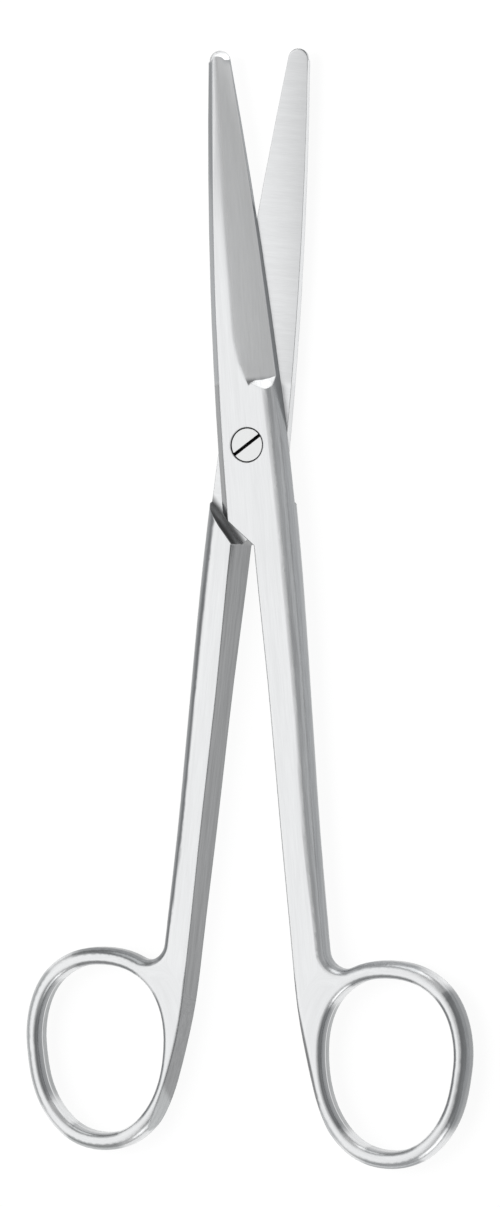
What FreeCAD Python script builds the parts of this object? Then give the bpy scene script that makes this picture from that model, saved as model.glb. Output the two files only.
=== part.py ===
# Straight dissecting scissors, 19 cm: two forged halves with finger rings, held by a slotted pivot screw.
# Millimetres. +Y points to the blade tips, +X to the right of the front face and +Z out of it. The origin
# is on the pivot axis, on the back face that the scissors lie on.
import FreeCAD, Part
import math
import os

Vector = FreeCAD.Vector

# Lap joint
joint_thickness = 3.1
lap_gap = 0.04
spine_offset = 5.95
edge_offset = 6.3
joint_end = -10.0
rest_opening = 12.4

# Blade, measured from the pivot axis
blade_length = 67.2
tip_radius = 1.8
tip_thickness = 1.85
tip_land = 0.65
tip_slope = 65.0
spine_bow = 0.95
edge_bow = 0.5
taper_start = 14.0
spine_chamfer_width = 2.0
spine_wall_joint = 1.1
spine_wall_tip = 0.6
spine_crown = 0.12

# Wide outer bevel and the steep facet along the cutting edge
ridge_joint = -1.0
ridge_tip = -0.1
ridge_bow = 0.25
facet_width_joint = 0.3
facet_height_joint = 1.05
facet_width_tip = 0.12
facet_height_tip = 0.35
facet_fade = -4.0
fade_margin = 0.3
fade_lean = 0.15
ridge_turn = 10.0
runout_place = 9.9
runout_left = 1.2
runout_right = 7.4
runout_rise = 1.0
runout_slope = 75.0
scoop_radius = 14.0
scoop_centre = 7.5
scoop_start = 8.25
scoop_slope = 37.0

# Shoulder and stop faces, as the halves lie closed
stop_distance = 11.85
stop_angle = 46.0
stop_gap = 0.25
inner_draft = 10.6
inner_gap = 0.6
inner_wall_end = -95.0
inner_wall_radius = 65.0

# Shank, from the joint to the finger ring
swell_offset = 6.55
swell_place = -24.0
waist_offset = 6.05
waist_place = -52.0
neck_offset = 5.6
neck_place = -80.0
shank_thickness = 4.9
thinning_start = -16.0
thinning_end = -46.0
front_round_joint = 2.45
front_round_shank = 2.2
back_round_joint = 2.9
back_round_shank = 2.35
ring_round = 1.5
valley_radius = 3.2

# Finger ring: two egg-shaped outlines, narrower at the bottom
ring_centre_x = 15.0
ring_centre_y = -105.5
ring_lean = 6.6
ring_fullness = 0.905
ring_thickness = 4.4
hole_width = 23.3
hole_length = 28.9
hole_egg = 0.09
rim_side = 2.6
rim_end = 2.9
rim_egg = 0.08
hole_round = 0.9
ring_thinning_start = -62.0
ring_thinning_end = -86.0

# Pivot screw
head_diameter = 5.7
head_height = 1.4
head_play = 0.1
head_edge = 0.12
neck_diameter = 4.2
running_clearance = 0.04
end_play = 0.04
thread_diameter = 3.5
slot_width = 0.6
slot_depth = 0.8
slot_angle = 36.0

# Room that a cutting body reaches past what it cuts
reach = 3.0

tip_centre = blade_length - tip_radius
half_opening = rest_opening / 2
inner_slope = math.tan(math.radians(inner_draft))
ring_bottom = ring_centre_y - hole_length / 2 - rim_end - reach


def bowed(y, start, end, bow):
    """Sideways place at y on a shallow parabola between two (y, x) points."""
    share = (y - start[0]) / (end[0] - start[0])
    return start[1] + (end[1] - start[1]) * share + 4 * bow * share * (1 - share)


def spine_x(y):
    """Spine line of the blade in plan."""
    return bowed(y, (joint_end, -spine_offset), (tip_centre, -tip_radius), -spine_bow)


def edge_x(y):
    """Cutting edge line of the blade in plan."""
    return bowed(y, (0, edge_offset), (tip_centre, tip_radius), edge_bow)


def face_z(y):
    """Height of the outer face above the lap plane along the blade."""
    taper = (joint_thickness - tip_thickness) / (tip_centre - taper_start)
    return joint_thickness - taper * max(0, y - taper_start)


def blade_share(y):
    """Zero at the start of the blade's taper, one at the centre of the tip's round end."""
    return (y - taper_start) / (tip_centre - taper_start)


def along_blade(at_joint, at_tip, y):
    """A size that changes evenly from the joint to the tip."""
    return at_joint + (at_tip - at_joint) * blade_share(y)


def curve(points):
    """Smooth edge through (x, y) points in the plane of the lap."""
    spline = Part.BSplineCurve()
    spline.interpolate([Vector(x, y, 0) for x, y in points])
    return spline.toShape()


def straight(*points):
    """Straight edges through (x, y) points."""
    corners = [Vector(x, y, 0) for x, y in points]
    return [Part.makeLine(a, b) for a, b in zip(corners, corners[1:])]


def prism(edges, bottom, top, lean=0.0):
    """Solid between two heights over a closed outline, leaning along X by lean per unit of height."""
    face = Part.Face(Part.Wire(edges))
    face.translate(Vector(lean * bottom, 0, bottom))
    return face.extrude(Vector(lean * (top - bottom), 0, top - bottom))


def section(y, points):
    """Closed polygon of (x, z) points in the plane across the blade at y."""
    ring = [Vector(x, y, z) for x, z in points]
    return Part.makePolygon(ring + ring[:1])


def fuller(share):
    """Moves a cosine or sine outward between the ends of its range, which makes an oval squarer."""
    return math.copysign(abs(share) ** ring_fullness, share)


def egg(width, length, narrowing):
    """Closed egg outline about the ring's centre, leaning outward at the top."""
    steps = 16
    lean = math.radians(ring_lean)
    points = []
    for step in range(steps):
        turn = 2 * math.pi * step / steps
        across = width / 2 * fuller(math.cos(turn)) * (1 + narrowing * math.sin(turn))
        along = length / 2 * fuller(math.sin(turn))
        x = ring_centre_x + across * math.cos(lean) + along * math.sin(lean)
        y = ring_centre_y - across * math.sin(lean) + along * math.cos(lean)
        points.append(Vector(x, y, 0))
    spline = Part.BSplineCurve()
    spline.interpolate(Points=points, PeriodicFlag=True)
    return spline.toShape()


def side_profile():
    """Solid that holds the forging's thickness: full at the joint, thinner at the shank and the ring."""
    shank = shank_thickness / 2
    ring = ring_thickness / 2
    bottom_end = ring_centre_y - hole_length
    upper = Part.BSplineCurve()
    upper.interpolate(
        Points=[
            Vector(0, thinning_start, joint_thickness),
            Vector(0, (thinning_start + thinning_end) / 2, (joint_thickness + shank) / 2),
            Vector(0, thinning_end, shank),
        ],
        Tangents=[Vector(0, -1, 0), Vector(0, -1, -0.04), Vector(0, -1, 0)],
        TangentFlags=[True, False, True],
    )
    lower = Part.BSplineCurve()
    lower.interpolate(
        Points=[Vector(0, ring_thinning_start, shank), Vector(0, ring_thinning_end, ring)],
        Tangents=[Vector(0, -1, 0), Vector(0, -1, 0)],
        TangentFlags=[True, True],
    )
    front = [
        Part.makeLine(Vector(0, taper_start, joint_thickness), Vector(0, thinning_start, joint_thickness)),
        upper.toShape(),
        Part.makeLine(Vector(0, thinning_end, shank), Vector(0, ring_thinning_start, shank)),
        lower.toShape(),
        Part.makeLine(Vector(0, ring_thinning_end, ring), Vector(0, bottom_end, ring)),
    ]
    back = [edge.mirror(Vector(0, 0, 0), Vector(0, 0, 1)) for edge in front]
    ends = [
        Part.makeLine(Vector(0, bottom_end, ring), Vector(0, bottom_end, -ring)),
        Part.makeLine(Vector(0, taper_start, joint_thickness), Vector(0, taper_start, -joint_thickness)),
    ]
    face = Part.Face(Part.Wire(Part.__sortEdges__(front + back + ends)))
    face.translate(Vector(-spine_offset - reach, 0, 0))
    return face.extrude(Vector(4 * spine_offset + hole_width, 0, 0))


def outer_edges(shape, side):
    """Edges between the curved outer walls and the front (side 1) or back (side -1) of the forging."""
    edges = []
    for face in shape.Faces:
        u0, u1, v0, v1 = face.ParameterRange
        upright = abs(face.normalAt((u0 + u1) / 2, (v0 + v1) / 2).z) < 0.01
        if upright and not isinstance(face.Surface, Part.Plane):
            edges += [edge for edge in face.Edges if edge.CenterOfMass.z * side > ring_thickness / 4]
    return edges


def rounded_outside(shape, top, bottom, change_place, back_radii, front_radii):
    """Rounds both outer edges of one length of the forging, with the radii (above, below) where it thins."""
    slab = Part.makeBox(8 * hole_width, top - bottom, 4 * joint_thickness)
    slab.translate(Vector(-4 * hole_width, bottom, -2 * joint_thickness))
    piece = shape.common(slab)
    for side, radii in ((-1, back_radii), (1, front_radii)):
        edges = outer_edges(piece, side)
        change = min(edges, key=lambda edge: abs(edge.CenterOfMass.y - change_place))
        if change.firstVertex().Point.y < change.lastVertex().Point.y:
            radii = radii[::-1]
        piece = piece.makeFillet(*radii, [change])
    return piece


def hole_cutter():
    """Finger hole with rounded mouths, as the solid that it takes out of the ring."""
    size = 2 * hole_length
    corner = Vector(ring_centre_x - size / 2, ring_centre_y - size / 2, -ring_thickness / 2)
    plate = Part.makeBox(size, size, ring_thickness, corner)
    pierced = plate.cut(prism([egg(hole_width, hole_length, hole_egg)], -ring_thickness, ring_thickness))
    mouths = [edge for edge in pierced.Edges if len(edge.Vertexes) == 1]
    return plate.cut(pierced.makeFillet(hole_round, mouths))


def inner_touch(rim):
    """Point on the inner side of the ring's outline where the shank runs into it, and the outline's slope there."""
    place = ring_centre_y - hole_length / 8
    start, end = rim.ParameterRange
    count = 400
    parameters = [start + (end - start) * step / count for step in range(count)]
    inner = [parameter for parameter in parameters if rim.valueAt(parameter).x < ring_centre_x]
    nearest = min(inner, key=lambda parameter: abs(rim.valueAt(parameter).y - place))
    return rim.valueAt(nearest), rim.tangentAt(nearest)


def handle_blank():
    """Joint, shank and finger ring with rounded outer edges, before the lap and the inner wall are cut."""
    ring_top = ring_centre_y + hole_length / 2
    outer = curve(
        [
            (edge_x(taper_start), taper_start),
            (edge_offset, 0),
            (swell_offset, swell_place),
            (waist_offset, waist_place),
            (neck_offset, neck_place),
            (neck_offset, ring_top),
        ]
    )
    spine = curve([(spine_x(y), y) for y in (taper_start, (taper_start + joint_end) / 2, joint_end)])
    rim = egg(hole_width + 2 * rim_side, hole_length + 2 * rim_end, rim_egg)
    touch, slope = inner_touch(rim)
    away = touch - slope * ((touch.x + spine_offset) / slope.x)
    corners = [(neck_offset, ring_top), (neck_offset, touch.y), (touch.x, touch.y), (away.x, away.y)]
    lower = straight(*corners, (-spine_offset, joint_end))
    upper = straight((spine_x(taper_start), taper_start), (edge_x(taper_start), taper_start))
    shank = prism([outer] + lower + [spine] + upper, -joint_thickness, joint_thickness)
    blank = shank.fuse(prism([rim], -joint_thickness, joint_thickness)).removeSplitter()
    valley = [
        edge
        for edge in blank.Edges
        if abs(edge.tangentAt(edge.FirstParameter).z) > 0.99
        and edge.CenterOfMass.x > neck_offset / 2
        and ring_centre_y < edge.CenterOfMass.y < neck_place
    ]
    blank = blank.makeFillet(valley_radius, valley).common(side_profile())
    parting = (thinning_end + ring_thinning_start) / 2
    back = (back_round_joint, back_round_shank)
    front = (front_round_joint, front_round_shank)
    upper = rounded_outside(blank, taper_start, parting, (thinning_start + thinning_end) / 2, back, front)
    back = (back_round_shank, ring_round)
    front = (front_round_shank, ring_round)
    lower = rounded_outside(blank, parting, ring_bottom, (ring_thinning_start + ring_thinning_end) / 2, back, front)
    return upper.fuse(lower).cut(hole_cutter()).removeSplitter()


def blade_blank():
    """Blade with square edges: round end in plan, outer face falling towards the tip."""
    stations = [taper_start + (tip_centre - taper_start) * share for share in (0, 0.35, 0.7, 1)]
    spine = curve([(spine_x(y), y) for y in stations])
    cutting = curve([(edge_x(y), y) for y in stations])
    tip = Part.Arc(
        Vector(spine_x(tip_centre), tip_centre, 0),
        Vector(0, blade_length, 0),
        Vector(edge_x(tip_centre), tip_centre, 0),
    ).toShape()
    root = straight((edge_x(taper_start), taper_start), (spine_x(taper_start), taper_start))
    plan = prism([spine, tip, cutting] + root, 0, joint_thickness)
    end = blade_length + reach
    side = Part.makePolygon(
        [
            Vector(-spine_offset - reach, taper_start, 0),
            Vector(-spine_offset - reach, taper_start, joint_thickness),
            Vector(-spine_offset - reach, end, face_z(end)),
            Vector(-spine_offset - reach, end, 0),
            Vector(-spine_offset - reach, taper_start, 0),
        ]
    )
    thickness = Part.Face(side).extrude(Vector(spine_offset + edge_offset + 2 * reach, 0, 0))
    return plan.common(thickness)


def ridge_x(y):
    """Line between the flat and the wide bevel, which turns towards the edge where the bevel runs out."""
    ridge = bowed(y, (taper_start, ridge_joint), (tip_centre, ridge_tip), -ridge_bow)
    turn_start = runout_place + ridge_turn
    past = max(0, turn_start - y) / ridge_turn
    return ridge + (runout_left - ridge_joint) * past ** 2


def bevel_cutter():
    """Takes the wide outer bevel off the blade; at the joint it ends in a scooped, lens-shaped run-out."""
    sections = []
    turn = [runout_place + ridge_turn * share for share in (-0.4, 0, 0.4, 0.8, 1.2)]
    blade = [taper_start + (tip_centre - taper_start) * share for share in (0.25, 0.5, 0.8, 1.15)]
    for y in turn + blade:
        inner = (ridge_x(y), face_z(y))
        outer_x = edge_x(y) - along_blade(facet_width_joint, facet_width_tip, y)
        outer_z = along_blade(facet_height_joint, facet_height_tip, y)
        fall = (inner[1] - outer_z) / (outer_x - inner[0])
        left = inner[0] - reach
        right = outer_x + reach
        top = joint_thickness + 4 * reach
        rise_left = inner[1] + fall * reach
        drop_right = outer_z - fall * reach
        sections.append(section(y, [(left, rise_left), (right, drop_right), (right, top), (left, top)]))
    bevel = Part.makeLoft(sections, True, False)
    outlines = []
    for z in (0, joint_thickness + 1):
        start = runout_place + (joint_thickness - z) / math.tan(math.radians(runout_slope))
        end = blade_length + 3 * reach
        arc = Part.Arc(
            Vector(runout_left, start, z),
            Vector((runout_left + runout_right) / 2, start + runout_rise, z),
            Vector(runout_right, start, z),
        )
        corners = [
            Vector(runout_right, start, z),
            Vector(runout_right + reach, start, z),
            Vector(runout_right + reach, end, z),
            Vector(-spine_offset, end, z),
            Vector(-spine_offset, start, z),
            Vector(runout_left, start, z),
        ]
        outlines.append(Part.Wire([arc.toShape()] + [Part.makeLine(a, b) for a, b in zip(corners, corners[1:])]))
    scoop = Part.makeCylinder(scoop_radius, 4 * reach, Vector(0, -2 * reach, 0), Vector(0, 1, 0))
    scoop.translate(Vector(scoop_centre, scoop_start, joint_thickness + scoop_radius))
    scoop.rotate(Vector(scoop_centre, scoop_start, joint_thickness), Vector(1, 0, 0), -scoop_slope)
    return bevel.common(Part.makeLoft(outlines, True, True).fuse(scoop))


def facet_cutter():
    """Takes the steep facet off the cutting edge; it fades out on the side of the joint."""
    low = -1.0
    high = joint_thickness + 1
    fade_x = edge_offset + fade_margin
    right = fade_x + reach
    sections = [
        section(facet_fade, [(fade_x - low * fade_lean, low), (right, low), (right, high), (fade_x - high * fade_lean, high)])
    ]
    for share in (0, 0.35, 0.7, 1.1):
        y = taper_start + (tip_centre - taper_start) * share
        lean = along_blade(facet_width_joint, facet_width_tip, y) / along_blade(facet_height_joint, facet_height_tip, y)
        x = edge_x(y)
        sections.append(section(y, [(x - low * lean, low), (right, low), (right, high), (x - high * lean, high)]))
    return Part.makeLoft(sections, True, False)


def spine_cutter():
    """Takes the slightly crowned chamfer off the outer corner of the spine."""
    sections = []
    for share in (-0.25, 0, 0.3, 0.6, 0.97, 1.05):
        y = blade_length * share
        wall = along_blade(spine_wall_joint, spine_wall_tip, y)
        low = Vector(spine_x(y), y, wall)
        high = Vector(spine_x(y) + spine_chamfer_width, y, face_z(y))
        slope = high - low
        outward = Vector(-slope.z, 0, slope.x).normalize()
        start = low - slope * 0.5
        end = high + slope * 0.5
        middle = (low + high) * 0.5 + outward * 4 * spine_crown
        corner = Vector(start.x, y, end.z)
        crown = Part.Arc(start, middle, end).toShape()
        sections.append(Part.Wire([crown, Part.makeLine(end, corner), Part.makeLine(corner, start)]))
    return Part.makeLoft(sections, True, False)


def tip_cutter():
    """Slopes the round end of the blade all along its rim."""
    height = joint_thickness
    inset = height / math.tan(math.radians(tip_slope))
    base = Vector(0, tip_centre, tip_land)
    cone = Part.makeCone(tip_radius, tip_radius - min(inset, 0.9 * tip_radius), height, base, Vector(0, 0, 1))
    block = Part.makeBox(4 * tip_radius, 2 * tip_radius, height, Vector(-2 * tip_radius, tip_centre, tip_land))
    return block.cut(cone)


def stop_line(side):
    """Unit vectors along and away from the stop line: side 1 for the shoulder, -1 for the thin corner."""
    turn = math.radians(stop_angle)
    along = Vector(side * math.cos(turn), math.sin(turn), 0)
    away = Vector(side * math.sin(turn), -math.cos(turn), 0)
    return along, away


def lap_cutter():
    """Room for the other half's lap and blade: all that lies behind the lap plane, up to the shoulder."""
    along, away = stop_line(1)
    foot = away * stop_distance
    far = blade_length + 2 * reach
    corners = [foot - along * far, foot + along * far, foot + along * far - away * far, foot - along * far - away * far]
    outline = straight(*[(corner.x, corner.y) for corner in corners + corners[:1]])
    return prism(outline, -joint_thickness - reach, lap_gap / 2, -inner_slope)


def neighbour_cutter():
    """Room for the other half's shank: beyond the thin corner and behind the drafted inner wall."""
    along, away = stop_line(-1)
    wall_x = inner_gap / 2
    distance = stop_distance - stop_gap
    corner_y = (distance - away.x * wall_x) / away.y
    drop = inner_wall_end - ring_bottom
    end = (wall_x + drop ** 2 / (2 * inner_wall_radius), ring_bottom)
    middle = (wall_x + (drop / 2) ** 2 / (2 * inner_wall_radius), inner_wall_end - drop / 2)
    far = Vector(wall_x, corner_y, 0) + along * spine_offset * 3
    bend = Part.Arc(
        Vector(wall_x, inner_wall_end, 0), Vector(middle[0], middle[1], 0), Vector(end[0], end[1], 0)
    ).toShape()
    sides = straight(end, (far.x, ring_bottom), (far.x, far.y), (wall_x, corner_y), (wall_x, inner_wall_end))
    return prism([bend] + sides, -joint_thickness - reach, joint_thickness + reach, -inner_slope)


def half():
    """One forging as it lies closed, lap plane at z = 0 and its lap on the +Z side, without the pivot hole."""
    body = handle_blank().fuse(blade_blank())
    for cutter in (lap_cutter(), neighbour_cutter(), bevel_cutter(), facet_cutter(), spine_cutter(), tip_cutter()):
        body = body.cut(cutter)
    return body.removeSplitter()


def disc(diameter, bottom, top):
    """Round bar on the pivot axis between two heights above the lap plane."""
    return Part.makeCylinder(diameter / 2, top - bottom, Vector(0, 0, bottom))


def front_half():
    """Half with the counterbore that hides the screw's head."""
    seat = joint_thickness - head_height
    body = half()
    body = body.cut(disc(neck_diameter + 2 * running_clearance, -reach, joint_thickness + reach))
    body = body.cut(disc(head_diameter + 2 * head_play, seat, joint_thickness + reach))
    body.rotate(Vector(0, 0, 0), Vector(0, 0, 1), half_opening)
    return body


def rear_half():
    """The same forging turned over, with the hole that the screw is fixed in."""
    body = half()
    body = body.cut(disc(thread_diameter, -reach, joint_thickness + reach))
    body.rotate(Vector(0, 0, 0), Vector(0, 1, 0), 180)
    body.rotate(Vector(0, 0, 0), Vector(0, 0, 1), -half_opening)
    return body


def pivot_screw():
    """Turned screw: head flush with the front face, plain neck, fixed end flush with the back face."""
    seat = joint_thickness - head_height + end_play
    head = disc(head_diameter, seat, joint_thickness)
    rim = [edge for edge in head.Edges if edge.CenterOfMass.z > joint_thickness - head_edge]
    head = head.makeChamfer(head_edge, rim)
    neck = disc(neck_diameter, lap_gap / 2, seat)
    slot = Part.makeBox(
        2 * head_diameter,
        slot_width,
        slot_depth + reach,
        Vector(-head_diameter, -slot_width / 2, joint_thickness - slot_depth),
    )
    slot.rotate(Vector(0, 0, 0), Vector(0, 0, 1), slot_angle)
    screw = head.fuse([neck, disc(thread_diameter, -joint_thickness, lap_gap / 2)])
    return screw.cut(slot).removeSplitter()


def save(name, shape):
    """Writes one piece, moved so that the back face at the joint lies on z = 0."""
    shape.translate(Vector(0, 0, joint_thickness))
    if not shape.isValid() or len(shape.Solids) != 1:
        raise ValueError(f"{name} is not one valid solid")
    shape.Solids[0].exportStep(os.path.join("parts", f"{name}.step"))


os.makedirs("parts", exist_ok=True)
save("front_half", front_half())
save("rear_half", rear_half())
save("pivot_screw", pivot_screw())
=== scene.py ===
"""Dissecting scissors of satin stainless steel on a white table, seen from the front and a little from the right.

Places on a half are in millimetres from the pivot, as the half lies closed: across is positive on the side of its
ring, along is positive towards the tip, and height is counted from the back face. MM turns them into metres.
"""

import logging
import math
from dataclasses import dataclass
from enum import Enum

import bpy
from mathutils import Matrix, Vector


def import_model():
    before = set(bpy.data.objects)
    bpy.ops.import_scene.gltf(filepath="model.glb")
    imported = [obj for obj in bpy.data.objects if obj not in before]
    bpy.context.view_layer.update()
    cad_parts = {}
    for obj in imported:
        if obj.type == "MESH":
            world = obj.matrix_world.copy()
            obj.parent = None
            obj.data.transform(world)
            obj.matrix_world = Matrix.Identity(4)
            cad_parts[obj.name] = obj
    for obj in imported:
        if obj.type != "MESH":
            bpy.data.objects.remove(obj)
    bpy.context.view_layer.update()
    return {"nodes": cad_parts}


MM = 0.001
HALF_OPENING = 6.2  # degrees between a half at rest and the line that halves the opening
LAP_HEIGHT = 3.1  # the plane in which the two halves slide on each other
STOP_ANGLE = 46.0  # degrees between the shoulder and the line across the half
STOP_RANGE = ((-26.0, -22.0), (4.0, 0.0))  # along: where the shoulder fades in and out
HOLE_CENTRE = (15.0, -105.5)
HOLE_REACH = (12.6, 15.4)  # half of the finger hole's width and length, with its rounded mouth
HOLE_SHAPE = 0.82  # width of the ring for a length of one, for the brush lines around it
RING_START = (-88.0, -92.0)  # along: where the shank turns into the ring
BLADE_START = (10.5, 11.5)  # along: where the joint turns into the blade
TAPER = (14.0, 65.0)  # along: from the full width of the blade to its tip
# The lens between these limits takes the lit tone as a painted highlight.
LENS_RANGE = ((5.0, 7.0), (16.0, 14.0))  # along: where the bevel's polished run-out fades in and out
TIP_CENTRE = 65.1  # along: centre of the blade's rounded end
LOG = logging.getLogger("scissors")


Socket = bpy.types.NodeSocket
Value = bpy.types.NodeSocket | float | tuple
Parts = tuple[Socket, Socket, Socket]


class Node(Enum):
    """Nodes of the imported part."""

    FRONT = "front_half"
    REAR = "rear_half"
    SCREW = "pivot_screw"


def linear(colour: str) -> tuple[float, float, float, float]:
    """Linear RGBA of an sRGB hex colour.

    Args:
        colour: Six hex digits with a leading hash.

    Returns:
        Red, green and blue as linear light, and an alpha of one.
    """
    parts = (int(colour[i : i + 2], 16) / 255 for i in (1, 3, 5))
    light = [p / 12.92 if p <= 0.04045 else ((p + 0.055) / 1.055) ** 2.4 for p in parts]
    return (*light, 1.0)


class Graph:
    """A node tree that is written down as nested calls."""

    def __init__(self, tree: bpy.types.NodeTree) -> None:
        """Empties the tree and keeps it."""
        self.tree = tree
        tree.nodes.clear()

    def add(self, kind: str, inputs: dict | None = None, **settings: object) -> bpy.types.Node:
        """Adds one node.

        Args:
            kind: Node type, without the leading ShaderNode.
            inputs: Values or sockets for the node's inputs, by name or by place.
            settings: Attributes of the node.

        Returns:
            The new node.
        """
        node = self.tree.nodes.new("ShaderNode" + kind)
        for name, value in settings.items():
            setattr(node, name, value)
        for key, value in (inputs or {}).items():
            if isinstance(value, bpy.types.NodeSocket):
                self.tree.links.new(value, node.inputs[key])
            else:
                node.inputs[key].default_value = value
        return node

    def math(self, operation: str, *values: Value, clamp: bool = False) -> Socket:
        """Socket with the result of one Math node."""
        return self.add("Math", dict(enumerate(values)), operation=operation, use_clamp=clamp).outputs[0]

    def step(self, value: Value, low: float, high: float, out_low: float = 0.0, out_high: float = 1.0) -> Socket:
        """Socket that goes smoothly from one value to another between two limits of the input."""
        inputs = {"Value": value, "From Min": low, "From Max": high, "To Min": out_low, "To Max": out_high}
        return self.add("MapRange", inputs, interpolation_type="SMOOTHSTEP").outputs["Result"]

    def mix(self, share: Value, first: Value, second: Value) -> Socket:
        """Colour socket between two colours."""
        node = self.add("Mix", {0: share, 6: first, 7: second}, data_type="RGBA")
        return node.outputs[2]


@dataclass(frozen=True)
class Steel:
    """Satin stainless steel: ground, then brushed along the forging and around the ring, with painted light and shade
    in its colour.

    Places are in millimetres of the half as it lies closed: across is positive on the side of its ring, and along
    is positive towards the tip.

    Attributes:
        turn: Angle of the half from the line that halves the opening, in degrees.
        side: One when the half's ring lies on the right, minus one when it lies on the left.
        flat: Colour of the wide faces, which get the finest brushing; it is the painted lit tone, also laid as painted
            highlights on other faces.
        round: Colour of the rounded outer edges, a painted shade tone.
        wall: Colour of the upright outer sides and of the spine's chamfer, a painted shade tone.
        inner: Colour of the milled inner wall, a painted shade tone.
        band: Colour of the ring's outer side, a painted tone that sets its light and shade apart from the other rounds.
        ring_share: One when all of the ring's outer rounds have that colour, zero when only its side has it.
        hole: Colours of the finger hole's upper and lower half, painted shade that is darker on the upper half.
        roughness: Roughness of the wide faces.
        round_roughness: Roughness of the rounded sides and of the ring, which are polished.
    """

    turn: float
    side: int
    flat: str = "#e8e9ea"
    wall: str = "#a2a4a6"
    round: str = "#cbcdcf"
    inner: str = "#9a9b9c"
    band: str = "#909294"
    ring_share: float = 0.0
    hole: tuple[str, str] = ("#929496", "#adafb0")
    roughness: float = 0.3
    round_roughness: float = 0.2

    def build(self, name: str) -> bpy.types.Material:
        """Material for one forging of the scissors."""
        material = bpy.data.materials.new(name)
        material.use_nodes = True
        graph = Graph(material.node_tree)
        across, along, height = self.place(graph)
        blade = graph.step(along, *BLADE_START)
        share = graph.step(along, *TAPER)
        from_ridge = self.from_ridge(graph, across, along)
        radius = self.edge_radius(graph, (across, along, height), from_ridge, blade, share)
        soft = graph.add("Bevel", {"Radius": graph.math("MULTIPLY", radius, MM)}, samples=8).outputs[0]
        turned = self.turned(graph, soft)
        sharp = self.turned(graph, graph.add("NewGeometry").outputs["True Normal"])
        sideways, endways, rise = turned
        ground = self.ground(graph, height, sharp[2])
        shoulder = self.shoulder(graph, sharp, along)
        lines = self.lines(graph, across, along, height, ground)
        colour = self.colour(graph, across, along, height, turned, sharp, blade)
        # Painted light: the shoulder walls take the lit tone, and corner() paints shade back on their rim and on the
        # lap beside them.
        colour = graph.mix(shoulder, colour, linear(self.flat))
        level = graph.step(rise, 0.9, 0.99)
        plain = graph.math("MAXIMUM", level, blade)
        streak = graph.math("MULTIPLY_ADD", plain, 0.16, 0.8)
        shade = graph.add(
            "MapRange",
            {"Value": lines, "From Min": 0.3, "From Max": 0.7, "To Min": streak, "To Max": 1.04},
            interpolation_type="SMOOTHSTEP",
        ).outputs["Result"]
        shade = graph.math("MULTIPLY", shade, self.corner(graph, across, along, height, ground, shoulder))
        colour = graph.add("Mix", {0: 1.0, 6: colour, 7: shade}, data_type="RGBA", blend_type="MULTIPLY").outputs[2]
        push = self.hollow(graph, from_ridge, across, share, ground)
        normal = self.pushed(graph, soft, graph.math("MULTIPLY", push, blade))
        normal = self.facet_normal(graph, normal, self.crescent(graph, across, along, height))
        depth = graph.math("MULTIPLY_ADD", level, -0.025, 0.045)
        bump = graph.add(
            "Bump",
            {"Strength": 0.3, "Distance": graph.math("MULTIPLY", depth, MM), "Height": lines, "Normal": normal},
        )
        roughness = graph.math("MULTIPLY_ADD", level, self.roughness - self.round_roughness, self.round_roughness)
        roughness = graph.math("MULTIPLY_ADD", shoulder, 0.5, roughness)
        shader = graph.add(
            "BsdfPrincipled",
            {"Base Color": colour, "Metallic": 1.0, "Roughness": roughness, "Normal": bump.outputs[0]},
        )
        graph.add("OutputMaterial", {"Surface": shader.outputs[0]})
        return material

    def edge_radius(self, graph: Graph, place: Parts, from_ridge: Socket, blade: Socket, share: Socket) -> Socket:
        """Millimetres over which the hand polish has softened the edges: most at the ridge, least on the lap.

        Args:
            graph: Graph to add to.
            place: Millimetres across, along and above the back face.
            from_ridge: Millimetres from the ridge.
            blade: One on the blade.
            share: Zero where the taper starts, one at the tip.

        Returns:
            Socket of the radius.
        """
        across, along, height = place
        near_spine = graph.math("MULTIPLY", graph.step(across, -2.0, -4.0), graph.step(along, -14, -11))
        near_spine = graph.math("MULTIPLY", near_spine, graph.math("SUBTRACT", 1.0, share))
        near_ridge = graph.math("MULTIPLY", blade, graph.step(graph.math("ABSOLUTE", from_ridge), 2.0, 0.8))
        near_ridge = graph.math("MULTIPLY", near_ridge, graph.math("MULTIPLY_ADD", share, 0.4, 0.65))
        rounded = graph.math("MULTIPLY_ADD", graph.step(along, *RING_START), 0.3, near_ridge)
        radius = graph.math("ADD", rounded, graph.math("MULTIPLY_ADD", near_spine, 0.2, 0.3))
        lap = graph.math("LESS_THAN", self.from_lap(graph, height), 0.06)
        return graph.math("MULTIPLY", radius, graph.math("MULTIPLY_ADD", lap, -0.6, 1.0))

    def from_lap(self, graph: Graph, height: Socket) -> Socket:
        """Millimetres from the plane in which the halves slide on each other."""
        return graph.math("ABSOLUTE", graph.math("SUBTRACT", height, LAP_HEIGHT))

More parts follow.
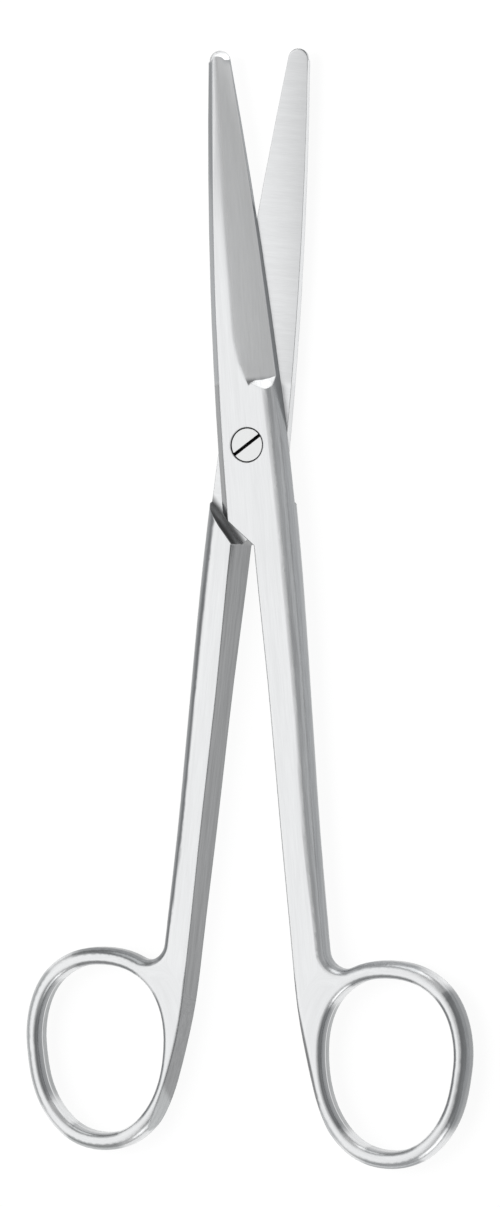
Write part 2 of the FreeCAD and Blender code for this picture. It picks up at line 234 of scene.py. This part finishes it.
    def colour(
        self, graph: Graph, across: Value, along: Value, height: Value, turned: Parts, sharp: Parts, blade: Value
    ) -> Socket:
        """Base colour with painted light and shade: lit and shaded tones by the way the surface faces and by its part,
        and painted highlights on its crests and facets.

        Args:
            graph: Graph to add to.
            across: Millimetres across the half.
            along: Millimetres along the half.
            height: Millimetres above the back face.
            turned: Parts of the softened normal.
            sharp: Parts of the surface's own normal.
            blade: One on the blade.

        Returns:
            Socket of the colour.
        """
        sideways, endways, rise = turned
        steep = graph.math("SQRT", graph.math("SUBTRACT", 1.0, graph.math("POWER", rise, 2.0), clamp=True))
        ratio = graph.math(
            "DIVIDE", graph.math("ABSOLUTE", endways), graph.math("MAXIMUM", graph.math("ABSOLUTE", sideways), 0.05)
        )
        facing = graph.step(ratio, 1.0, 0.55)
        # Painted highlight: the lit tone goes where the ring faces diagonally, on its crests.
        corner = graph.math("MULTIPLY", graph.step(ratio, 0.6, 0.95), graph.step(ratio, 2.6, 1.7))
        ring = graph.step(along, *RING_START)
        off_blade = graph.math("SUBTRACT", 1.0, blade)
        # Painted shade: steep faces and the blade's spine side take darker tones than the faces that face up.
        rounded = graph.mix(graph.step(steep, 0.72, 0.85), linear(self.round), linear(self.wall))
        spine = graph.math("MULTIPLY", blade, graph.step(sideways, 0.0, -0.2))
        rounded = graph.mix(spine, rounded, linear(self.wall))
        # Painted shade: the band tone on the ring's side where it faces across the half.
        band = graph.math("MULTIPLY", graph.math("MULTIPLY", ring, facing), graph.step(across, 12.0, 16.0))
        rounded = graph.mix(graph.math("MULTIPLY", ring, self.ring_share), rounded, linear(self.band))
        dark = graph.math("MULTIPLY", band, 1.0 - self.ring_share)
        rounded = graph.mix(dark, rounded, linear(self.band))
        # Painted shade: the inner tone on the inner wall, off the blade.
        inside = graph.math("MULTIPLY", graph.step(across, 2.6, 2.2), off_blade)
        inside = graph.math("MULTIPLY", inside, graph.math("MAXIMUM", facing, graph.math("SUBTRACT", 1.0, ring)))
        rounded = graph.mix(inside, rounded, linear(self.inner))
        # Painted light: these spots take the lit tone whatever way they face, as painted highlights on the spine's wall
        # near the joint, the ring's crests and the facets, and to keep the blade's bevel in the lit tone.
        bevel = graph.math("MULTIPLY", graph.step(rise, 0.7, 0.75), graph.step(sideways, -0.05, 0.1))
        spine_wall = graph.math("MULTIPLY", graph.step(sharp[0], -0.93, -0.97), graph.step(along, -9.0, -3.0))
        painted_lit_tone = graph.math("MAXIMUM", graph.math("MULTIPLY", bevel, blade), spine_wall)
        painted_lit_tone = graph.math("MAXIMUM", painted_lit_tone, graph.math("MULTIPLY", corner, ring))
        painted_lit_tone = graph.math("MAXIMUM", painted_lit_tone, self.facet(graph, across, along, height, turned))
        flat = graph.math("MAXIMUM", graph.step(steep, 0.4, 0.2), painted_lit_tone)
        colour = graph.mix(flat, rounded, linear(self.flat))
        # Painted shade and painted highlights in the finger hole, from hole_colour.
        in_hole = graph.math("MULTIPLY", self.in_hole(graph, across, along), graph.step(rise, 0.95, 0.86))
        return graph.mix(in_hole, colour, self.hole_colour(graph, height, ratio, corner))

    def hole_colour(self, graph: Graph, height: Socket, ratio: Socket, corner: Socket) -> Socket:
        """Colour of the finger hole's wall: painted shade, darker on its upper half, with a painted highlight as the
        light line where its two ground halves meet.

        Args:
            graph: Graph to add to.
            height: Millimetres above the back face.
            ratio: How much more the wall faces along the half than across it.
            corner: One where the wall faces between the two, which gets a painted highlight.

        Returns:
            Socket of the colour.
        """
        upper = graph.step(height, 3.2, 3.5)
        hole = graph.mix(upper, linear(self.hole[1]), linear(self.hole[0]))
        line = graph.step(graph.math("ABSOLUTE", graph.math("SUBTRACT", height, 3.3)), 0.22, 0.08)
        # Painted highlight: the lit tone on the line and the diagonal corners, and part of it where the wall faces
        # along the half.
        light = graph.math("MAXIMUM", line, corner)
        light = graph.math("MAXIMUM", light, graph.step(ratio, 1.8, 2.6, 0.0, 0.35))
        return graph.mix(light, hole, linear(self.flat))

    def facet(self, graph: Graph, across: Value, along: Value, height: Value, turned: Parts) -> Socket:
        """One where painted highlights lie on the polished facets: the rounded end of the blade and the lens where its
        bevel runs out.
        """
        lens = graph.math("MULTIPLY", graph.step(turned[1], 0.25, 0.35), graph.step(along, *LENS_RANGE[0]))
        lens = graph.math("MULTIPLY", lens, graph.step(along, *LENS_RANGE[1]))
        return graph.math("MAXIMUM", lens, self.crescent(graph, across, along, height))

    def crescent(self, graph: Graph, across: Value, along: Value, height: Value) -> Socket:
        """One on the polished rim at the rounded end of the blade, where a painted highlight lies."""
        off = self.from_lap(graph, height)
        outer = graph.math("GREATER_THAN", off, 0.1)
        up = graph.math("SUBTRACT", along, TIP_CENTRE)
        squares = graph.math("ADD", graph.math("POWER", across, 2.0), graph.math("POWER", up, 2.0))
        rim = graph.math("MULTIPLY", graph.step(graph.math("SQRT", squares), 0.9, 1.1), graph.step(along, 65.2, 65.6))
        return graph.math("MULTIPLY", rim, outer)

    def facet_normal(self, graph: Graph, normal: Value, facet: Value) -> Socket:
        """Normal that is nearly the same all over a polished facet."""
        facing = Vector((0.11, 0.62, 0.78))
        way = graph.add("VectorTransform", {0: facing}, vector_type="NORMAL", convert_from="OBJECT", convert_to="WORLD")
        share = graph.math("MULTIPLY", facet, 0.85)
        mixed = graph.add("Mix", {0: share, 4: normal, 5: way.outputs[0]}, data_type="VECTOR").outputs[1]
        return graph.add("VectorMath", {0: mixed}, operation="NORMALIZE").outputs[0]

    def place(self, graph: Graph) -> Parts:
        """Millimetres across and along the half, and above its back face, as sockets."""
        position = graph.add("TexCoord").outputs["Object"]
        turn = math.radians(self.turn)
        scale = 1 / MM
        mapped = graph.add(
            "Mapping",
            {"Vector": position, "Rotation": (0, 0, -turn), "Scale": (scale, scale, scale)},
            vector_type="POINT",
        )
        parts = graph.add("SeparateXYZ", {0: mapped.outputs[0]})
        return graph.math("MULTIPLY", parts.outputs["X"], self.side), parts.outputs["Y"], parts.outputs["Z"]

    def turned(self, graph: Graph, normal: Value) -> Parts:
        """Parts of a world normal across and along the half, and the size of its upward part, as sockets."""
        own = graph.add("VectorTransform", {0: normal}, vector_type="NORMAL", convert_from="WORLD", convert_to="OBJECT")
        mapped = graph.add("Mapping", {"Vector": own.outputs[0], "Rotation": (0, 0, -math.radians(self.turn))})
        parts = graph.add("SeparateXYZ", {0: mapped.outputs[0]})
        sideways = graph.math("MULTIPLY", parts.outputs["X"], self.side)
        return sideways, parts.outputs["Y"], graph.math("ABSOLUTE", parts.outputs["Z"])

    def from_ridge(self, graph: Graph, across: Value, along: Value) -> Socket:
        """Millimetres from the line between the flat and the wide bevel."""
        line = graph.math("MULTIPLY_ADD", graph.math("SUBTRACT", along, TAPER[0]), 0.0175, -1.0)
        turn = graph.math("MAXIMUM", graph.math("MULTIPLY_ADD", along, -0.1, 1.99), 0.0)
        line = graph.math("MULTIPLY_ADD", graph.math("POWER", turn, 2.0), 2.2, line)
        return graph.math("SUBTRACT", across, line)

    def in_hole(self, graph: Graph, across: Value, along: Value) -> Socket:
        """One inside the finger hole's outline, with a margin for its rounded mouth."""
        from_x = graph.math("DIVIDE", graph.math("SUBTRACT", across, HOLE_CENTRE[0]), HOLE_REACH[0])
        from_y = graph.math("DIVIDE", graph.math("SUBTRACT", along, HOLE_CENTRE[1]), HOLE_REACH[1])
        squares = graph.math("ADD", graph.math("POWER", from_x, 2.0), graph.math("POWER", from_y, 2.0))
        return graph.step(squares, 1.1, 1.0)

    def ground(self, graph: Graph, height: Value, rise: Value) -> Socket:
        """One on the flat side that slides on the other half."""
        off = self.from_lap(graph, height)
        return graph.math("MULTIPLY", graph.math("LESS_THAN", off, 0.06), graph.math("GREATER_THAN", rise, 0.95))

    def shoulder(self, graph: Graph, sharp: Parts, along: Value) -> Socket:
        """One on the walls that face the other half across the end of the lap."""
        turn = math.radians(STOP_ANGLE)
        forwards = graph.math("MULTIPLY", sharp[1], math.cos(turn))
        facing = graph.math("SUBTRACT", forwards, graph.math("MULTIPLY", sharp[0], math.sin(turn)))
        near = graph.math("MULTIPLY", graph.step(along, *STOP_RANGE[0]), graph.step(along, *STOP_RANGE[1]))
        return graph.math("MULTIPLY", graph.step(facing, 0.85, 0.95), near)

    def lines(self, graph: Graph, across: Value, along: Value, height: Value, ground: Value) -> Socket:
        """Fine and coarse brush lines, from zero to one; they run around the ring and across the ground side."""
        from_x = graph.math("SUBTRACT", across, HOLE_CENTRE[0])
        from_y = graph.math("MULTIPLY", graph.math("SUBTRACT", along, HOLE_CENTRE[1]), HOLE_SHAPE)
        radius = graph.math("SQRT", graph.math("ADD", graph.math("POWER", from_x, 2), graph.math("POWER", from_y, 2)))
        angle = graph.math("ARCTAN2", from_y, from_x)
        ring = graph.math("MULTIPLY", graph.step(along, *RING_START), graph.step(radius, 17.5, 16.0))
        straight = graph.add("CombineXYZ", {0: across, 1: graph.math("MULTIPLY", along, 0.03), 2: height}).outputs[0]
        round_ = graph.add("CombineXYZ", {0: radius, 1: graph.math("MULTIPLY", angle, 0.5), 2: height}).outputs[0]
        crossing = graph.add("CombineXYZ", {0: along, 1: graph.math("MULTIPLY", across, 0.06), 2: 9.0}).outputs[0]
        way = graph.add("Mix", {0: ring, 4: straight, 5: round_}, data_type="VECTOR").outputs[1]
        way = graph.add("Mix", {0: ground, 4: way, 5: crossing}, data_type="VECTOR").outputs[1]
        fine = graph.add("TexNoise", {"Vector": way, "Scale": 7.0, "Detail": 2.0})
        coarse = graph.add("TexNoise", {"Vector": way, "Scale": 1.3, "Detail": 3.0})
        return graph.math("MULTIPLY_ADD", fine.outputs[0], 0.5, graph.math("MULTIPLY", coarse.outputs[0], 0.5))

    def corner(
        self, graph: Graph, across: Value, along: Value, height: Value, ground: Value, shoulder: Value
    ) -> Socket:
        """Less light on the shoulder's rim and in the corner between it and the lap, as a factor.

        Args:
            graph: Graph to add to.
            across: Millimetres across the half.
            along: Millimetres along the half.
            height: Millimetres above the back face.
            ground: One on the ground side.
            shoulder: One on the shoulder.

        Returns:
            Socket of the factor.
        """
        turn = math.radians(STOP_ANGLE)
        distance = graph.math(
            "SUBTRACT", graph.math("MULTIPLY", across, math.sin(turn)), graph.math("MULTIPLY", along, math.cos(turn))
        )
        floor = graph.math("MULTIPLY", graph.math("MULTIPLY", ground, graph.step(distance, 10.6, 11.7)), 0.68)
        off = self.from_lap(graph, height)
        rim = graph.math("MAXIMUM", graph.step(off, 0.8, 2.4), graph.step(along, -14.0, -9.0))
        wall = graph.math("MULTIPLY", shoulder, graph.math("MULTIPLY", rim, 0.7))
        return graph.math("SUBTRACT", 1.0, graph.math("MAXIMUM", floor, wall))

    def hollow(self, graph: Graph, from_ridge: Value, across: Value, share: Value, ground: Value) -> Socket:
        """Sideways tilt of the blade's crowned bevel, soft ridge and flat, and of its hollow-ground side.

        Args:
            graph: Graph to add to.
            from_ridge: Millimetres from the ridge.
            across: Millimetres across the half.
            share: Zero where the taper starts, one at the tip.
            ground: One on the ground side.

        Returns:
            Socket with the tangent of the tilt.
        """
        width = graph.math("MULTIPLY_ADD", share, -4.8, 6.8)
        place = graph.math("SUBTRACT", graph.math("DIVIDE", from_ridge, width), 0.5)
        outer = graph.math("SUBTRACT", 1.0, ground)
        right = graph.math("MULTIPLY", outer, graph.step(from_ridge, -0.6, 0.6))
        left = graph.math("SUBTRACT", outer, right)
        bevel = graph.math("MULTIPLY", right, graph.math("MULTIPLY", place, 0.22))
        tip = graph.math("MULTIPLY", graph.math("MULTIPLY", left, graph.step(share, 0.1, 1.0)), 0.17)
        side = graph.math("MULTIPLY_ADD", share, -0.08, graph.math("MULTIPLY_ADD", across, 0.014, -0.035))
        return graph.math("MULTIPLY_ADD", side, ground, graph.math("ADD", bevel, tip))

    def pushed(self, graph: Graph, normal: Value, amount: Value) -> Socket:
        """Normal tilted across the half by the amount."""
        way = Matrix.Rotation(math.radians(self.turn), 3, "Z") @ Vector((self.side, 0, 0))
        push = graph.add("VectorMath", {0: tuple(way), "Scale": amount}, operation="SCALE").outputs[0]
        world = graph.add("VectorTransform", {0: push}, vector_type="VECTOR", convert_from="OBJECT", convert_to="WORLD")
        total = graph.add("VectorMath", {0: normal, 1: world.outputs[0]}, operation="ADD").outputs[0]
        return graph.add("VectorMath", {0: total}, operation="NORMALIZE").outputs[0]


@dataclass(frozen=True)
class ScrewSteel:
    """Turned steel of the pivot screw, with painted shade in its slot and on all of it below its head's face, down in
    the counterbore.
    """

    face: str = "#e9eaea"
    # Painted shade colour for the slot and the counterbore gap.
    slot: str = "#1b1b1c"

    def build(self, name: str) -> bpy.types.Material:
        """Material for the screw."""
        material = bpy.data.materials.new(name)
        material.use_nodes = True
        graph = Graph(material.node_tree)
        place = graph.add("TexCoord")
        parts = graph.add("SeparateXYZ", {0: place.outputs["Object"]})
        # Painted shade: every part between these heights, slot and head's sides alike, takes the slot colour.
        deep = graph.math("LESS_THAN", parts.outputs["Z"], 6.15 * MM)
        above = graph.math("GREATER_THAN", parts.outputs["Z"], 3.0 * MM)
        dark = graph.math("MULTIPLY", deep, above)
        colour = graph.mix(dark, linear(self.face), linear(self.slot))
        shader = graph.add("BsdfPrincipled", {"Base Color": colour, "Metallic": 1.0, "Roughness": 0.33})
        graph.add("OutputMaterial", {"Surface": shader.outputs[0]})
        return material


@dataclass(frozen=True)
class View:
    """The photograph's camera, in millimetres and degrees of the part's frame.

    Attributes:
        turn: Angle between the line of sight and the front face's normal, towards the right.
        lean: Angle between the picture's upright and the line that halves the opening.
        distance: From the camera to the plane of the lap.
        focal: Focal length for a sensor as tall as the picture.
        aim: Point of the lap plane, from the pivot, in the middle of the picture.
        lap_height: Height of the lap plane above the table.
    """

    turn: float = 23.2
    lean: float = 0.848
    distance: float = 800.0
    focal: float = 141.19
    aim: tuple[float, float] = (-0.74, -26.7)
    lap_height: float = LAP_HEIGHT

    def build(self) -> bpy.types.Object:
        """Camera object at the photograph's place."""
        turn, lean = math.radians(self.turn), math.radians(self.lean)
        untilt = Matrix.Rotation(lean, 3, "Z")
        right = untilt @ Vector((math.cos(turn), 0, -math.sin(turn)))
        back = untilt @ Vector((math.sin(turn), 0, math.cos(turn)))
        up = back.cross(right)
        aim = untilt @ Vector((*self.aim, 0)) + Vector((0, 0, self.lap_height))
        data = bpy.data.cameras.new("camera")
        data.sensor_fit = "VERTICAL"
        data.sensor_height = 36.0
        data.lens = self.focal
        data.clip_end = 20.0
        camera = bpy.data.objects.new("camera", data)
        turned = Matrix((right, up, back)).transposed().to_4x4()
        camera.matrix_world = Matrix.Translation((aim + back * self.distance) * MM) @ turned
        bpy.context.scene.collection.objects.link(camera)
        bpy.context.scene.camera = camera
        return camera


@dataclass(frozen=True)
class Studio:
    """White table, white surroundings for the camera, and strip lights along the object for the metal.

    Attributes:
        table_size: Side of the table, in metres.
        table: Colour of the table.
        strips: Light of the surroundings by the degrees from straight up towards the right.
        boxes: Soft boxes past the two ends: direction, cosines at the edge and in the middle, and light.
    """

    table_size: float = 3.0
    table: str = "#f2f2f2"
    strips: tuple[tuple[float, float], ...] = (
        (-120, 0.75),
        (-70, 0.75),
        (-62, 0.85),
        (-48, 1.08),
        (-18, 1.08),
        (0, 0.55),
        (35, 0.52),
        (70, 0.66),
        (100, 0.7),
        (120, 0.6),
    )
    boxes: tuple[tuple, ...] = (((-0.05, 0.9, 0.4), 0.93, 0.985, 1.0), ((0.36, -0.77, 0.5), 0.93, 0.985, 1.0))

    def build(self) -> None:
        """Adds the table, the world and the lamp."""
        bpy.context.scene.view_settings.view_transform = "Standard"
        self.add_table()
        self.add_world()
        self.add_lamp()

    def add_table(self) -> None:
        """Plain pale table that the scissors lie on."""
        half = self.table_size / 2
        mesh = bpy.data.meshes.new("table")
        mesh.from_pydata([(-half, -half, 0), (half, -half, 0), (half, half, 0), (-half, half, 0)], [], [(0, 1, 2, 3)])
        table = bpy.data.objects.new("table", mesh)
        bpy.context.scene.collection.objects.link(table)
        material = bpy.data.materials.new("white_table")
        material.use_nodes = True
        graph = Graph(material.node_tree)
        ray = graph.add("LightPath")
        plain = graph.add("BsdfDiffuse", {"Color": linear(self.table)})
        shaded = graph.add("BsdfDiffuse", {"Color": (0.12, 0.12, 0.12, 1)})
        glow = graph.add("Emission", {"Color": (1, 1, 1, 1), "Strength": 0.9})
        white = graph.add("AddShader", {0: shaded.outputs[0], 1: glow.outputs[0]})
        seen = graph.math("MAXIMUM", ray.outputs["Is Camera Ray"], ray.outputs["Is Glossy Ray"])
        seen = graph.math("MAXIMUM", seen, ray.outputs["Is Transmission Ray"])
        mixed = graph.add("MixShader", {0: seen, 1: plain.outputs[0], 2: white.outputs[0]})
        graph.add("OutputMaterial", {"Surface": mixed.outputs[0]})
        mesh.materials.append(material)

    def add_world(self) -> None:
        """White for the camera; for the metal, soft strips of light that run along the scissors."""
        world = bpy.data.worlds.new("studio")
        bpy.context.scene.world = world
        world.use_nodes = True
        graph = Graph(world.node_tree)
        ray = graph.add("LightPath")
        compass = graph.add("TexCoord").outputs["Generated"]
        way = graph.add("SeparateXYZ", {0: compass})
        angle = graph.math("ARCTAN2", way.outputs["X"], way.outputs["Z"])
        share = graph.math("MULTIPLY_ADD", angle, 0.5 / math.pi, 0.5)
        ramp = graph.add("ValToRGB", {0: share})
        ramp.color_ramp.interpolation = "EASE"
        elements = ramp.color_ramp.elements
        while len(elements) < len(self.strips):
            elements.new(0.5)
        for element, (degrees, level) in zip(elements, self.strips):
            element.position = degrees / 360 + 0.5
            element.color = (level, level, level, 1)
        end = graph.step(graph.math("ABSOLUTE", way.outputs["Y"]), 0.5, 0.75)
        level = graph.mix(end, ramp.outputs[0], (0.5, 0.5, 0.5, 1))
        for direction, low, high, gain in self.boxes:
            near = graph.add(
                "VectorMath", {0: compass, 1: Vector(direction).normalized()}, operation="DOT_PRODUCT"
            ).outputs["Value"]
            level = graph.math("ADD", level, graph.step(near, low, high, 0.0, gain))
        around = graph.add("Background", {"Color": level, "Strength": 1.0})
        white = graph.add("Background", {"Color": (1, 1, 1, 1), "Strength": 1.0})
        mixed = graph.add("MixShader", {0: ray.outputs["Is Camera Ray"], 1: around.outputs[0], 2: white.outputs[0]})
        graph.add("OutputWorld", {"Surface": mixed.outputs[0]})

    def add_lamp(self) -> None:
        """Large soft lamp above and to the left, for the shadow on the table."""
        data = bpy.data.lights.new("softbox", "AREA")
        data.shape = "RECTANGLE"
        data.size = 0.5
        data.size_y = 0.7
        data.energy = 4.0
        lamp = bpy.data.objects.new("softbox", data)
        lamp.visible_glossy = False
        place = Vector((-0.5, 0.1, 0.8))
        lamp.matrix_world = Matrix.Translation(place) @ place.to_track_quat("Z", "Y").to_matrix().to_4x4()
        bpy.context.scene.collection.objects.link(lamp)


def main() -> None:
    """Builds the scene in order."""
    logging.basicConfig(level=logging.INFO)
    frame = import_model()
    front = Steel(HALF_OPENING, 1)
    # The rear half is a shaded copy of the same steel: darker painted shade on its walls and rounds, and a lighter
    # painted tone on all of its ring's rounds.
    rear = Steel(-HALF_OPENING, -1, wall="#8a8c8e", round="#8a8c8e", band="#bcbebf", ring_share=1.0)
    # Martensitic stainless steel: the halves are forged, ground and brushed, and the screw is turned from bar.
    finish_and_painted_light = {
        Node.FRONT: front.build("stainless_steel_satin_front"),
        Node.REAR: rear.build("stainless_steel_satin_rear"),
        Node.SCREW: ScrewSteel().build("stainless_steel_turned"),
    }
    for name, piece in frame["nodes"].items():
        piece.data.materials.clear()
        piece.data.materials.append(finish_and_painted_light[Node(name)])
        LOG.info("%s: %d faces", name, len(piece.data.polygons))
    Studio().build()
    View().build()


if __name__ == "__main__":
    main()
